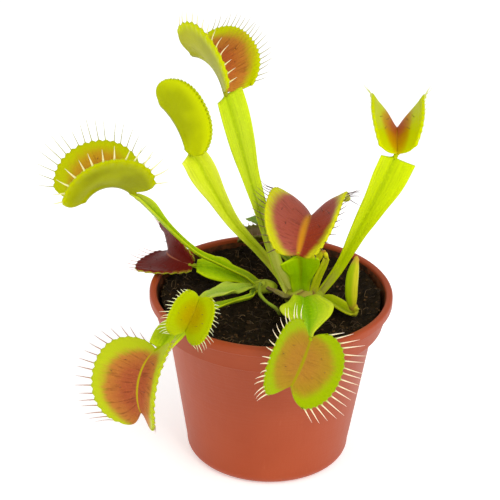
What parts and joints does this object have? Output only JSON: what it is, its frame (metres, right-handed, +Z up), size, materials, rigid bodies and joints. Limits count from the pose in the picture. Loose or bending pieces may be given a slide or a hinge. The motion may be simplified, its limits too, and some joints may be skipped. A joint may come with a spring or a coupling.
{
  "type": "potted venus flytrap",
  "caption": "Venus flytrap with winged leaf stalks and toothed two-lobed snap traps, rooted in peat in a round tapered terracotta-coloured plastic nursery pot.",
  "frame": {"origin": "centre of the pot's underside, the face it stands on", "axes": "+Z up along the pot's axis, -Y towards the side that most traps face, +X to the right seen from there"},
  "size_m": [0.1339, 0.1154, 0.1578],
  "materials": {
    "pot_plastic": "satin",
    "peat": "rough",
    "rhizome_skin": "satin",
    "leaf_green": "satin",
    "trap_green": "satin",
    "trap_red": "satin",
    "dead_leaf": "rough"
  },
  "bodies": {
    "root": {"pot": "pot_plastic", "soil": "peat", "rhizome": "rhizome_skin", "rhizome_side": "rhizome_skin", "runner": "leaf_green", "dead_leaf": "dead_leaf", "stalk_left": "leaf_green", "stalk_closed": "leaf_green", "stalk_tall": "leaf_green", "stalk_right": "leaf_green", "stalk_centre": "leaf_green", "stalk_maroon": "leaf_green", "stalk_small": "leaf_green", "stalk_hanging": "leaf_green", "stalk_front": "leaf_green", "stalk_rim": "leaf_green", "stalk_young": "leaf_green", "stalk_folded": "leaf_green", "stalk_back": "leaf_green", "trap_left": "trap_green", "trap_closed": "trap_green", "trap_tall": "trap_green", "trap_right": "trap_green", "trap_centre": "trap_red", "trap_maroon": "trap_red", "trap_small": "trap_green", "trap_hanging": "trap_green", "trap_front": "trap_green", "trap_rim": "trap_green", "bud_young": "trap_green", "bud_folded": "trap_green", "bud_back": "trap_green"}
  },
  "joints": []
}
